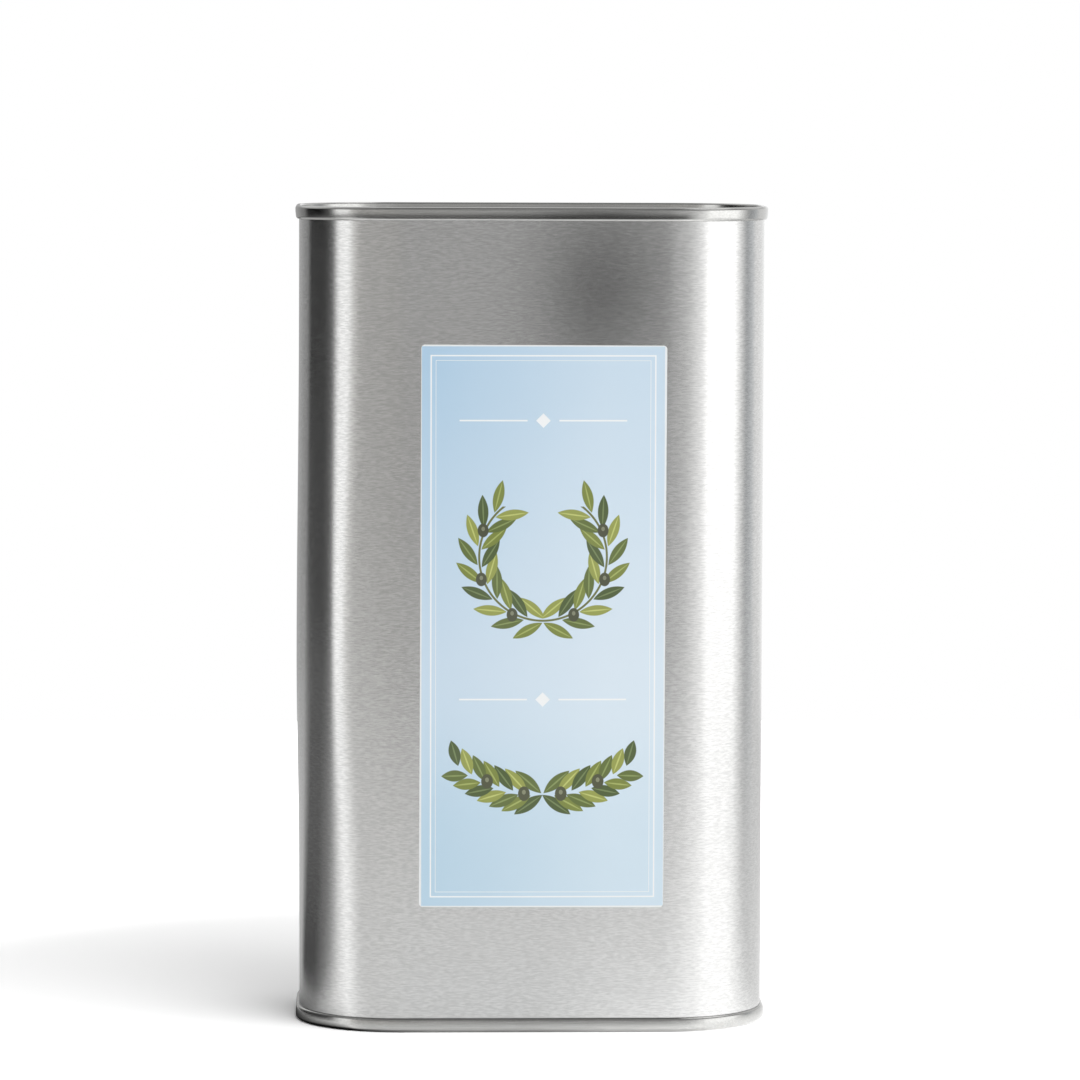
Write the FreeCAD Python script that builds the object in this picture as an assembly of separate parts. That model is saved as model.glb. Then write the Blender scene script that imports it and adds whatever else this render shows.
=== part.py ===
"""Olive oil tin: a rounded rectangular tinplate can with double-seamed ends and a pull-out spout.

Sizes are in millimetres. The origin is the centre of the footprint on the surface that the tin
stands on, +Z is up and the label faces -Y. Offsets round the can are counted outwards from the
outer face of the body wall.
"""

import FreeCAD, Part
import math
import os
from FreeCAD import Vector

# Can body
body_width = 107.0
body_depth = 62.0
corner_radius = 23.0
can_height = 188.0
sheet = 0.25                  # tinplate thickness
weld_width = 0.8              # lap weld down the middle of the back
weld_rise = 0.1

# Double seams
seam_height = 3.1
seam_gap = 0.04               # film of compound between two layers of a seam
seam_edge_radius = 0.45       # outside radius along the seam's resting edge
body_hook = 2.1
cover_hook = 1.9
compound_thickness = 0.16
compound_width = 0.5
compound_clearance = 0.02

# End panels
top_recess = 6.0              # rim to panel
bottom_recess = 4.6
countersink_depth = 0.8       # groove between the panel and the wall of the recess
countersink_width = 2.4
end_bend_radius = 0.45        # on the middle of the sheet
panel_band = 9.0              # strip of panel that is bent together with the seam
panel_step_inset = 6.0        # raised middle of the bottom panel
panel_step_height = 0.6

# Paper label on the front
label_left_margin = 4.65      # from the left end of the flat front
label_right_margin = 0.65     # from the right end of the flat front
label_bottom_margin = 28.7    # from the surface that the tin stands on
label_top_margin = 31.1       # from the rim
label_thickness = 0.12
label_corner_radius = 0.8
label_tilt = 0.17             # degrees, its top leaning to +X

# Spout tube
spout_end_gap = 7.1           # crimped ring to the wall of the recess, at the short side
tube_bore_radius = 8.6
tube_wall = 1.4
mouth_chamfer = 0.8
spout_travel = 16.0
travel_clearance = 0.2        # left at the top of the travel
stop_groove_depth = 0.7
stop_ring_height = 2.5
stop_ring_width = 2.3
stop_ring_clearance = 0.05
tube_tail = 1.0               # tube below the stop ring
tail_snap = 0.3               # bead that keeps the stop ring on

# Screw thread of the mouth and the cap
thread_pitch = 3.0
thread_depth = 0.9
thread_root_width = 1.5
thread_crest_width = 0.9
tube_thread_turns = 1.5
cap_thread_turns = 1.25
thread_clearance = 0.25
thread_below_mouth = 1.4
thread_above_skirt = 0.5      # lower end of the cap's skirt to its thread
thread_embed = 0.2            # ridge sunk into its wall

# Cap
cap_height = 10.5
cap_top_thickness = 1.2
cap_wall = 1.5
cap_sink = 0.3                # cap top below the flange of the well
cap_edge_radius = 0.5
grip_rib_count = 40
grip_rib_height = 0.4
grip_rib_width = 0.9
grip_rib_margin = 1.4
liner_thickness = 0.5
liner_clearance = 0.05
liner_edge_clearance = 0.15
nail_notch_width = 6.0
nail_notch_depth = 0.6
nail_notch_length = 3.6

# Finger bails on the cap
bail_outer_radius = 10.2
bail_width = 2.2
bail_thickness = 1.0
bail_edge_radius = 0.3
bail_lift = 0.15              # gap under a bail that lies flat
bail_spread = 0.95            # pivot axis from the cap's middle
pin_radius = 0.4
pin_clearance = 0.05
lug_gap = 0.35                # bail arm to lug
lug_thickness = 1.7
lug_side = 0.9                # lug beyond a pivot axis
lug_cover = 0.35              # lug above a pivot hole

# Well that the cap sits in
well_clearance = 1.35         # cap ribs to the well
well_wall = 1.2
flange_thickness = 1.0
cap_floor_gap = 0.3
guide_clearance = 0.15
boss_height = 3.6
sleeve_wall = 1.2
sleeve_clearance = 0.2        # stop ring to the sleeve
sleeve_tail = 1.0             # sleeve below the tube
drain_slot_count = 3
drain_slot_width = 5.0
drain_slot_margin = 3.0

# Wiper ring in the guide of the well
wiper_section_radius = 0.8
wiper_clearance = 0.04
wiper_seat_clearance = 0.08

# Neck of the top panel, gasket and crimped ring
neck_clearance = 0.2
neck_height = 2.2
neck_bend_radius = 0.8
curl_width = 1.5
curl_drop = 1.1
curl_bend_radius = 0.45
gasket_thickness = 0.5
gasket_inset = 0.1
crimp_clearance = 0.06
crimp_lap = 1.5               # crimped ring over the flange
crimp_hook = 0.7              # crimped ring under the curl
crimp_bend_radius = 0.25

# Offsets of the layers of a seam, from the inside to the outside, on the middle of each sheet
chuck_wall_offset = -1.5 * sheet - seam_gap
body_wall_offset = -0.5 * sheet
cover_hook_offset = 0.5 * sheet + seam_gap
body_hook_offset = 1.5 * sheet + 2 * seam_gap
seaming_wall_offset = 2.5 * sheet + 3 * seam_gap
recess_wall_offset = chuck_wall_offset - sheet / 2
compound_room = compound_thickness + 2 * compound_clearance

# Label on the flat front
label_left = corner_radius + label_left_margin - body_width / 2
label_right = body_width / 2 - corner_radius - label_right_margin
label_top = can_height - label_top_margin

# Radii about the spout axis
tube_radius = tube_bore_radius + tube_wall
thread_crest_radius = tube_radius + thread_depth
cap_bore_radius = thread_crest_radius + thread_clearance
cap_radius = cap_bore_radius + cap_wall
well_bore_radius = cap_radius + grip_rib_height + well_clearance
well_radius = well_bore_radius + well_wall
guide_radius = tube_radius + guide_clearance
stop_groove_radius = tube_radius - stop_groove_depth
stop_ring_bore_radius = stop_groove_radius + stop_ring_clearance
stop_ring_radius = stop_ring_bore_radius + stop_ring_width
sleeve_bore_radius = stop_ring_radius + sleeve_clearance
sleeve_radius = sleeve_bore_radius + sleeve_wall
neck_bore_radius = well_radius + neck_clearance
neck_middle_radius = neck_bore_radius + sheet / 2
curl_middle_radius = neck_middle_radius + curl_width
curl_radius = curl_middle_radius + sheet / 2
crimp_middle_radius = curl_radius + crimp_clearance + sheet / 2
crimp_radius = crimp_middle_radius + sheet / 2
neck_foot_radius = crimp_radius + sheet + neck_bend_radius
spout_x = body_width / 2 + recess_wall_offset - spout_end_gap - crimp_radius

# Heights of the closure, from the panel up to the flange and then down into the well
panel_top_z = can_height - top_recess
curl_top_z = panel_top_z + neck_height
flange_bottom_z = curl_top_z + gasket_thickness
flange_top_z = flange_bottom_z + flange_thickness
cap_top_z = flange_top_z - cap_sink
cap_bottom_z = cap_top_z - cap_height
cap_ceiling_z = cap_top_z - cap_top_thickness
liner_top_z = cap_ceiling_z - liner_clearance
mouth_z = liner_top_z - liner_thickness - liner_clearance
well_floor_z = cap_bottom_z - cap_floor_gap
boss_bottom_z = well_floor_z - boss_height
wiper_z = well_floor_z - boss_height / 2
stop_ring_top_z = boss_bottom_z - spout_travel - travel_clearance
stop_ring_bottom_z = stop_ring_top_z - stop_ring_height
tube_bottom_z = stop_ring_bottom_z - tube_tail
sleeve_bottom_z = tube_bottom_z - sleeve_tail
tube_thread_z = mouth_z - thread_below_mouth - thread_root_width / 2 - tube_thread_turns * thread_pitch
cap_thread_z = cap_bottom_z + thread_above_skirt + thread_root_width / 2
pivot_z = cap_top_z + bail_lift + bail_thickness / 2

UP = Vector(0, 0, 1)


def flat(x, z):
    """A profile point in the X-Z plane."""
    return Vector(x, 0, z)


def line(start, end):
    return Part.LineSegment(start, end).toShape()


def polygon_face(points):
    """A flat face with straight sides through the points."""
    return Part.Face(Part.makePolygon(points + points[:1]))


def strip_wire(points, bends, thickness):
    """Closed outline, in the X-Z plane, of a sheet whose middle runs through the points.

    Each inner point has a bend radius, measured on the middle of the sheet.
    """
    count = len(points)
    runs = [(points[i + 1] - points[i]).normalize() for i in range(count - 1)]
    sides = {1: [], -1: []}
    for side, edges in sides.items():
        def beside(point, run):
            return point + Vector(-run.z, 0, run.x) * (side * thickness / 2)
        last = beside(points[0], runs[0])
        for i, radius in enumerate(bends):
            corner, run_in, run_out = points[i + 1], runs[i], runs[i + 1]
            turn = math.copysign(1, run_in.z * -run_out.x + run_in.x * run_out.z)
            tangent = radius * math.tan(run_in.getAngle(run_out) / 2)
            start = corner - run_in * tangent
            centre = start + Vector(-run_in.z, 0, run_in.x) * (turn * radius)
            arc_start = beside(start, run_in)
            arc_end = beside(corner + run_out * tangent, run_out)
            arc_middle = centre + (corner - centre).normalize() * (radius - turn * side * thickness / 2)
            if last.distanceToPoint(arc_start) > 1e-6:
                edges.append(line(last, arc_start))
            edges.append(Part.Arc(arc_start, arc_middle, arc_end).toShape())
            last = arc_end
        edges.append(line(last, beside(points[-1], runs[-1])))
    ends = [line(sides[1][0].Vertexes[0].Point, sides[-1][0].Vertexes[0].Point),
            line(sides[1][-1].Vertexes[-1].Point, sides[-1][-1].Vertexes[-1].Point)]
    return Part.Wire(Part.__sortEdges__(sides[1] + sides[-1] + ends))


def closed_solid(faces):
    """One solid bounded by the faces."""
    shell = Part.makeShell(faces)
    shell.sewShape()
    solid = Part.makeSolid(shell)
    if solid.Volume < 0:
        solid.reverse()
    return solid


def round_the_can(profile):
    """Carries a closed profile of (offset, height) round the rounded rectangle of the body."""
    half_x = body_width / 2 - corner_radius
    half_y = body_depth / 2 - corner_radius
    corners = [(half_x, -half_y), (half_x, half_y), (-half_x, half_y), (-half_x, -half_y)]
    faces = []
    for i, (x, y) in enumerate(corners):
        at_corner = profile.copy()
        at_corner.translate(Vector(x + corner_radius, y, 0))
        at_corner.rotate(Vector(x, y, 0), UP, 90 * (i - 1))
        faces += at_corner.revolve(Vector(x, y, 0), UP, 90).Faces
        next_x, next_y = corners[(i + 1) % 4]
        at_corner.rotate(Vector(x, y, 0), UP, 90)
        faces += at_corner.extrude(Vector(next_x - x, next_y - y, 0)).Faces
    return closed_solid(faces).removeSplitter()


def rounded_rectangle(width, depth, radius):
    """A flat face with round corners, centred on the origin."""
    half_x, half_y = width / 2, depth / 2
    near = radius * (1 - math.sqrt(0.5))
    edges = []
    for sx, sy in ((1, -1), (1, 1), (-1, 1), (-1, -1)):
        along_x = Vector(sx * (half_x - radius), sy * half_y, 0)
        along_y = Vector(sx * half_x, sy * (half_y - radius), 0)
        middle = Vector(sx * (half_x - near), sy * (half_y - near), 0)
        edges.append(Part.Arc(along_x, middle, along_y).toShape())
    for sx in (1, -1):
        edges.append(line(Vector(sx * half_x, radius - half_y, 0), Vector(sx * half_x, half_y - radius, 0)))
    for sy in (1, -1):
        edges.append(line(Vector(radius - half_x, sy * half_y, 0), Vector(half_x - radius, sy * half_y, 0)))
    return Part.Face(Part.Wire(Part.__sortEdges__(edges)))


def can_plate(offset, bottom_z, thickness):
    """A flat plate with the can's outline, moved outwards by offset."""
    plate = rounded_rectangle(body_width + 2 * offset, body_depth + 2 * offset, corner_radius + offset)
    plate.translate(Vector(0, 0, bottom_z))
    return plate.extrude(UP * thickness)


def turned(face_or_wire, x=spout_x):
    """Turns a profile of (radius, height) about an upright axis at x."""
    profile = face_or_wire if face_or_wire.ShapeType == "Face" else Part.Face(face_or_wire)
    solid = profile.revolve(Vector(0, 0, 0), UP, 360)
    solid.translate(Vector(x, 0, 0))
    return solid


def ring(inner_radius, outer_radius, bottom_z, top_z):
    """A plain ring about the spout axis."""
    return turned(polygon_face([flat(inner_radius, bottom_z), flat(outer_radius, bottom_z),
                                flat(outer_radius, top_z), flat(inner_radius, top_z)]))


def disc(radius, bottom_z, top_z):
    return Part.makeCylinder(radius, top_z - bottom_z, Vector(spout_x, 0, bottom_z))


def thread_ridge(wall_radius, crest_radius, turns, bottom_z, start_turn):
    """A right-hand ridge on a wall about the spout axis, pointing towards the crest radius.

    It starts at bottom_z, a part of a turn away from +X.
    """
    away = math.copysign(thread_embed, wall_radius - crest_radius)
    helix = Part.makeHelix(thread_pitch, thread_pitch * turns, wall_radius)
    profile = Part.makePolygon([flat(wall_radius + away, -thread_root_width / 2),
                                flat(crest_radius, -thread_crest_width / 2),
                                flat(crest_radius, thread_crest_width / 2),
                                flat(wall_radius + away, thread_root_width / 2),
                                flat(wall_radius + away, -thread_root_width / 2)])
    ridge = Part.Wire(helix).makePipeShell([profile], True, True)
    ridge.rotate(Vector(0, 0, 0), UP, 360 * start_turn)
    ridge.translate(Vector(spout_x, 0, bottom_z))
    return ridge


def seam_profile(rim_z, down, panel_points, panel_bends):
    """Sheet outline of an end: its panel points, the recess wall and the layers folded into a seam.

    down is -1 for the seam at the top of the can and 1 for the one at the bottom.
    """
    rim_middle = rim_z + down * sheet / 2
    fold_middle = rim_z + down * (seam_height - sheet / 2)
    hook_end = rim_z + down * (seam_height - cover_hook)
    edge_bend = seam_edge_radius - sheet / 2
    hook_bend = (seaming_wall_offset - cover_hook_offset) / 2 - seam_gap / 4
    points = panel_points + [flat(chuck_wall_offset, rim_middle),
                             flat(seaming_wall_offset, rim_middle),
                             flat(seaming_wall_offset, fold_middle),
                             flat(cover_hook_offset, fold_middle),
                             flat(cover_hook_offset, hook_end)]
    bends = panel_bends + [edge_bend, edge_bend, hook_bend, hook_bend]
    return strip_wire(points, bends, sheet)


def recess_points(panel_middle, down):
    """Middle of the sheet from the panel, through the countersink groove, to the recess wall."""
    groove_middle = panel_middle + down * countersink_depth
    groove_inner = chuck_wall_offset - countersink_width
    points = [flat(-panel_band, panel_middle), flat(groove_inner, panel_middle),
              flat(groove_inner + countersink_depth, groove_middle), flat(chuck_wall_offset, groove_middle)]
    return points, [end_bend_radius] * 3


def body_shell():
    """Sleeve of tinplate with a lap weld at the back and a hook folded out at each end."""
    fold = sheet / 2 + sheet + compound_room
    bottom_fold, top_fold = fold, can_height - fold
    bend = (body_hook_offset - body_wall_offset) / 2 - seam_gap / 4
    points = [flat(body_hook_offset, top_fold - body_hook), flat(body_hook_offset, top_fold),
              flat(body_wall_offset, top_fold), flat(body_wall_offset, bottom_fold),
              flat(body_hook_offset, bottom_fold), flat(body_hook_offset, bottom_fold + body_hook)]
    sleeve = round_the_can(strip_wire(points, [bend] * 4, sheet))
    weld_margin = seam_height + compound_room
    weld = Part.makeBox(weld_width, sheet / 2 + weld_rise, can_height - 2 * weld_margin,
                        Vector(-weld_width / 2, body_depth / 2 - sheet / 2, weld_margin))
    return sleeve.fuse(weld).removeSplitter()


def top_end():
    """Recessed top panel with a curled neck for the spout."""
    panel_middle = panel_top_z - sheet / 2
    points, bends = recess_points(panel_middle, -1)
    rim = round_the_can(seam_profile(can_height, -1, points, bends))
    panel = can_plate(-panel_band, panel_top_z - sheet, sheet)
    panel = panel.cut(disc(neck_foot_radius, panel_top_z - 2 * sheet, panel_top_z + sheet))
    curl_middle_z = curl_top_z - sheet / 2
    neck_points = [flat(neck_foot_radius, panel_middle), flat(neck_middle_radius, panel_middle),
                   flat(neck_middle_radius, curl_middle_z), flat(curl_middle_radius, curl_middle_z),
                   flat(curl_middle_radius, curl_middle_z - curl_drop)]
    neck = turned(strip_wire(neck_points, [neck_bend_radius, curl_bend_radius, curl_bend_radius], sheet))
    cutter = disc(neck_foot_radius, panel_top_z - 2 * sheet, panel_top_z + sheet)
    return rim.cut(cutter).multiFuse([panel, neck]).removeSplitter()


def bottom_end():
    """Recessed bottom panel with a raised middle."""
    panel_middle = bottom_recess + sheet / 2
    points, bends = recess_points(panel_middle, 1)
    step_outer = flat(-panel_band - panel_step_inset, panel_middle)
    step_inner = flat(-panel_band - panel_step_inset - panel_step_height, panel_middle + panel_step_height)
    middle_edge = flat(step_inner.x - panel_step_height, step_inner.z)
    rim = round_the_can(seam_profile(0, 1, [middle_edge, step_inner, step_outer] + points[1:],
                                     [end_bend_radius, end_bend_radius] + bends))
    middle = can_plate(middle_edge.x, middle_edge.z - sheet / 2, sheet)
    return rim.fuse(middle).removeSplitter()


def seam_compound(rim_z, down):
    """Bead of sealing compound between the fold of the body and the end."""
    near_z = rim_z + down * (sheet + compound_clearance)
    far_z = near_z + down * compound_thickness
    middle = (body_wall_offset + body_hook_offset) / 2
    left, right = middle - compound_width / 2, middle + compound_width / 2
    return round_the_can(Part.makePolygon([flat(left, near_z), flat(right, near_z), flat(right, far_z),
                                           flat(left, far_z), flat(left, near_z)]))


def front_label():
    """Paper label on the front panel, set a little askew."""
    width = label_right - label_left
    height = label_top - label_bottom_margin
    label = rounded_rectangle(width, height, label_corner_radius).extrude(UP * label_thickness)
    label.rotate(Vector(0, 0, 0), UP, -label_tilt)
    label.rotate(Vector(0, 0, 0), Vector(1, 0, 0), 90)
    label.translate(Vector(label_left + width / 2, -body_depth / 2, label_bottom_margin + height / 2))
    return label


def spout_well():
    """Moulded cup that the cap sits in, with a guide and a slotted sleeve for the tube below it."""
    flange_radius = curl_radius
    well_bottom_z = well_floor_z - well_wall
    cup = turned(polygon_face([
        flat(guide_radius, well_floor_z), flat(well_bore_radius, well_floor_z),
        flat(well_bore_radius, flange_top_z), flat(flange_radius, flange_top_z),
        flat(flange_radius, flange_bottom_z), flat(well_radius, flange_bottom_z),
        flat(well_radius, well_bottom_z), flat(sleeve_radius, well_bottom_z),
        flat(sleeve_radius, sleeve_bottom_z), flat(sleeve_bore_radius, sleeve_bottom_z),
        flat(sleeve_bore_radius, boss_bottom_z), flat(guide_radius, boss_bottom_z)]))
    seat_half = wiper_section_radius + wiper_seat_clearance
    seat_radius = tube_radius + wiper_clearance + 2 * wiper_section_radius + wiper_seat_clearance
    cup = cup.cut(ring(tube_radius, seat_radius, wiper_z - seat_half, wiper_z + seat_half))
    slot_bottom = sleeve_bottom_z + drain_slot_margin
    slot_height = boss_bottom_z - drain_slot_margin - slot_bottom
    for i in range(drain_slot_count):
        slot = Part.makeBox(sleeve_wall + sleeve_radius, drain_slot_width, slot_height,
                            Vector(0, -drain_slot_width / 2, slot_bottom))
        slot.translate(Vector(spout_x, 0, 0))
        slot.rotate(Vector(spout_x, 0, 0), UP, 360 * i / drain_slot_count)
        cup = cup.cut(slot)
    return cup


def well_gasket():
    """Sealing ring between the curl of the neck and the flange of the well."""
    return ring(neck_bore_radius + gasket_inset, curl_radius - gasket_inset, curl_top_z, flange_bottom_z)


def crimp_ring():
    """Tinplate ring folded over the flange and under the curl."""
    top_middle = flange_top_z + crimp_clearance + sheet / 2
    bottom_middle = curl_top_z - sheet / 2 - curl_drop - crimp_clearance - sheet / 2
    points = [flat(crimp_middle_radius - crimp_lap, top_middle),
              flat(crimp_middle_radius, top_middle),
              flat(crimp_middle_radius, bottom_middle),
              flat(crimp_middle_radius - crimp_hook, bottom_middle)]
    return turned(strip_wire(points, [crimp_bend_radius] * 2, sheet))


def spout_tube():
    """Tube that is drawn up to pour, with a screw thread below its mouth."""
    tail_radius = stop_groove_radius + tail_snap
    tail_top_z = stop_ring_bottom_z - stop_ring_clearance
    tube = turned(polygon_face([
        flat(tube_bore_radius, tube_bottom_z), flat(tail_radius, tube_bottom_z),
        flat(tail_radius, tail_top_z), flat(stop_groove_radius, tail_top_z),
        flat(stop_groove_radius, stop_ring_top_z), flat(tube_radius, stop_ring_top_z),
        flat(tube_radius, mouth_z), flat(tube_bore_radius + mouth_chamfer, mouth_z),
        flat(tube_bore_radius, mouth_z - mouth_chamfer)]))
    return tube.fuse(thread_ridge(tube_radius, thread_crest_radius, tube_thread_turns, tube_thread_z, 0))


def wiper_ring():
    """Round rubber ring that wipes the tube in the guide of the well."""
    middle_radius = tube_radius + wiper_clearance + wiper_section_radius
    return Part.makeTorus(middle_radius, wiper_section_radius, Vector(spout_x, 0, wiper_z))


def stop_ring():
    """Ring snapped on the tube's lower end, which meets the guide when the spout is up."""
    return ring(stop_ring_bore_radius, stop_ring_radius, stop_ring_bottom_z, stop_ring_top_z)


def bail_pivot(side):
    """Point on the pivot axis of the bail at the front (-1) or the rear (1)."""
    return Vector(spout_x, side * bail_spread, pivot_z)


def screw_cap():
    """Ribbed screw cap with two pairs of pivot holes in the lugs on its top."""
    cap = disc(cap_radius, cap_bottom_z, cap_top_z)
    top_edge = [e for e in cap.Edges if e.BoundBox.ZMin > cap_top_z - cap_top_thickness]
    cap = cap.makeFillet(cap_edge_radius, top_edge)
    cap = cap.cut(disc(cap_bore_radius, cap_bottom_z - cap_top_thickness, cap_ceiling_z))
    ribs = []
    for i in range(grip_rib_count):
        rib = Part.makeBox(grip_rib_height + cap_wall / 2, grip_rib_width, cap_height - 2 * grip_rib_margin,
                           Vector(spout_x + cap_radius - cap_wall / 2, -grip_rib_width / 2,
                                  cap_bottom_z + grip_rib_margin))
        rib.rotate(Vector(spout_x, 0, 0), UP, 360 * i / grip_rib_count)
        ribs.append(rib)
    cap = cap.multiFuse(ribs)
    start_turn = (cap_thread_z - tube_thread_z) / thread_pitch + 0.5
    cap = cap.fuse(thread_ridge(cap_bore_radius, tube_radius + thread_clearance, cap_thread_turns,
                                cap_thread_z, start_turn))
    notch_corner = Vector(spout_x - nail_notch_width / 2, cap_radius - nail_notch_length,
                          cap_top_z - nail_notch_depth)
    for side in (-1, 1):
        notch = Part.makeBox(nail_notch_width, nail_notch_length + cap_radius, nail_notch_depth + bail_lift,
                             notch_corner)
        cap = cap.cut(notch.rotated(Vector(spout_x, 0, 0), UP, 90 * (1 - side)))
    lug_start = bail_outer_radius + lug_gap
    lug_half = bail_spread + lug_side
    lug_top_z = pivot_z + pin_radius + pin_clearance + lug_cover
    lug = Part.makeBox(lug_thickness, 2 * lug_half, lug_top_z - cap_top_z + cap_edge_radius,
                       Vector(spout_x + lug_start, -lug_half, cap_top_z - cap_edge_radius))
    for side in (-1, 1):
        hole_radius = pin_radius + pin_clearance
        lug = lug.cut(Part.makeCylinder(hole_radius, 2 * cap_radius, bail_pivot(side), Vector(1, 0, 0)))
    return cap.multiFuse([lug, lug.rotated(Vector(spout_x, 0, 0), UP, 180)]).removeSplitter()


def cap_liner():
    """Sealing disc that stays against the mouth while the cap turns over it."""
    return disc(cap_bore_radius - liner_edge_clearance, liner_top_z - liner_thickness, liner_top_z)


def finger_bail(side):
    """Half-round pull that lies on the cap, at the front (-1) or the rear (1)."""
    inner_radius = bail_outer_radius - bail_width
    bottom_z = pivot_z - bail_thickness / 2
    bow = ring(inner_radius, bail_outer_radius, bottom_z, bottom_z + bail_thickness)
    half = Part.makeBox(4 * bail_outer_radius, 2 * bail_outer_radius, 2 * bail_thickness,
                        Vector(spout_x - 2 * bail_outer_radius, 0, bottom_z - bail_thickness / 2))
    bow = bow.common(half)
    long_edges = [e for e in bow.Edges if isinstance(e.Curve, Part.Circle)]
    bow = bow.makeFillet(bail_edge_radius, long_edges)
    pieces = [bow]
    for way in (-1, 1):
        start = Vector(spout_x + way * inner_radius, 0, pivot_z)
        pieces.append(Part.makeCylinder(bail_thickness / 2, bail_width, start, Vector(way, 0, 0)))
        pin_start = Vector(spout_x + way * (bail_outer_radius - bail_edge_radius), 0, pivot_z)
        pin_length = bail_edge_radius + lug_gap + lug_thickness
        pieces.append(Part.makeCylinder(pin_radius, pin_length, pin_start, Vector(way, 0, 0)))
    bail = pieces[0].multiFuse(pieces[1:]).removeSplitter()
    bail = bail.rotated(Vector(spout_x, 0, 0), UP, 90 * (1 - side))
    bail.translate(Vector(0, side * bail_spread, 0))
    return bail


def main():
    nodes = {
        "body_shell": body_shell(),
        "top_end": top_end(),
        "bottom_end": bottom_end(),
        "top_seam_compound": seam_compound(can_height, -1),
        "bottom_seam_compound": seam_compound(0, 1),
        "front_label": front_label(),
        "spout_well": spout_well(),
        "well_gasket": well_gasket(),
        "crimp_ring": crimp_ring(),
        "spout_tube": spout_tube(),
        "wiper_ring": wiper_ring(),
        "stop_ring": stop_ring(),
        "screw_cap": screw_cap(),
        "cap_liner": cap_liner(),
        "front_bail": finger_bail(-1),
        "rear_bail": finger_bail(1),
    }
    os.makedirs("parts", exist_ok=True)
    for name, shape in nodes.items():
        shape.exportStep(f"parts/{name}.step")
        box = shape.BoundBox
        print(f"{name}: solids {len(shape.Solids)} valid {shape.isValid()} volume {shape.Volume:.1f}"
              f" z {box.ZMin:.2f} to {box.ZMax:.2f} x {box.XMin:.2f} to {box.XMax:.2f}")


main()
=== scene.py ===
"""Looks of an olive oil tin: brushed tinplate, a printed paper label and a sunken plastic spout.

Pieces are shaped in millimetres, in the tin's own frame, and brought to metres when they are done.
"""

import math

import bmesh
import bpy
from mathutils import Matrix, Vector


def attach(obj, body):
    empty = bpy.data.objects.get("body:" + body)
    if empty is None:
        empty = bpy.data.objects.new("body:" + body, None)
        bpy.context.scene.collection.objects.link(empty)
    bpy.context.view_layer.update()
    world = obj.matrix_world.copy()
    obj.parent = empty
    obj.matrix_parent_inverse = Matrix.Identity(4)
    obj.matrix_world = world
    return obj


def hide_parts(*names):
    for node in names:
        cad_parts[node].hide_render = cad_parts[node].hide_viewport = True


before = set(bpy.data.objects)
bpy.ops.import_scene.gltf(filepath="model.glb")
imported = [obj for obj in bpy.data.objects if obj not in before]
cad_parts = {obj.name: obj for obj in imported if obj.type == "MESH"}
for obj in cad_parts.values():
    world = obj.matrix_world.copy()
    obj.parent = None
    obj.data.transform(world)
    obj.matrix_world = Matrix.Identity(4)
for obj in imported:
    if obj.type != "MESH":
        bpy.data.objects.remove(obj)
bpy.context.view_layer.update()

millimetre = 0.001

# Can
body_width = 107.0
body_depth = 62.0
corner_radius = 23.0
can_height = 188.0
sheet = 0.25
corner_steps = 24
corner_x = body_width / 2 - corner_radius
corner_y = body_depth / 2 - corner_radius

# Sleeve, with its weld at the back
sleeve_margin = 1.2
weld_half_width = 0.4
weld_height = 0.1
weld_margin = 3.4

# How far the thin sleeve bows out on the front
front_bow = 0.55
front_bow_half_width = 42.0
front_bow_half_height = 92.0

# How far it bows out at the left corner, between two places along its outline and about a height
corner_bow = 0.62
corner_bow_start = 7.0
corner_bow_rise = 10.0
corner_bow_end = 40.0
corner_bow_fall = 36.0
corner_bow_z = 84.0
corner_bow_above = 50.0
corner_bow_below = 32.0

# Seams, as offsets outwards from the body's outer face
seam_height = 3.1
seam_outside = 0.87
seam_slot_outside = 0.04
seam_slot_roof = 0.45
recess_wall_outside = -0.29
recess_wall_inside = -0.54
seam_face_radius = 11.5
seam_face_tilt = 9.5
rim_radius = 0.7
rim_inside_radius = 0.42
seam_foot_radius = 0.6

# End panels
panel_z = 182.0
bottom_panel_z = 4.6
countersink_depth = 0.8
groove_width = 1.5
groove_bend = 0.35
step_margin = 11.5
step_depth = 0.6

# Label
label_width = 55.7
label_height = 128.2
label_thickness = 0.12
label_corner = 0.8
label_centre = Vector((2.0, -31.0, 92.8))
label_tilt = math.radians(0.17)

# Neck of the top end, and the ring crimped round it
spout_x = 28.0
neck_radius = 15.8
neck_flare = 18.7
neck_play = 0.1
curl_radius = 17.55
curl_foot_z = 182.98
curl_bend_z = 183.8
curl_top_z = 184.2
crimp_bore = 16.235
crimp_hook = 17.035
crimp_radius = 17.86
crimp_foot_z = 182.67
crimp_top_z = 186.01

# Well of the spout, with the tube's guide and sleeve
flange_bottom_z = 184.7
flange_top_z = 185.7
well_bore = 14.4
well_radius = 15.6
well_floor_z = 174.6
well_foot_z = 173.4
guide_bore = 10.15
guide_foot_z = 171.0
wiper_groove_radius = 11.72
wiper_groove_low_z = 171.9
wiper_groove_high_z = 173.7
tube_sleeve_radius = 13.05
tube_sleeve_bore = 11.85
tube_sleeve_foot_z = 150.3

# Tube
mouth_z = 183.6
mouth_lip_radius = 9.4
mouth_bevel = 0.8
tube_radius = 10.0
tube_bore = 8.6
tube_foot_radius = 9.6
tube_foot_z = 151.3
stop_groove_radius = 9.3
stop_groove_low_z = 152.25
stop_groove_high_z = 154.8

# Screw thread
thread_pitch = 3.0
thread_width = 1.5
thread_crest_share = 0.6
thread_sink = 0.2
thread_steps = 48

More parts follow.
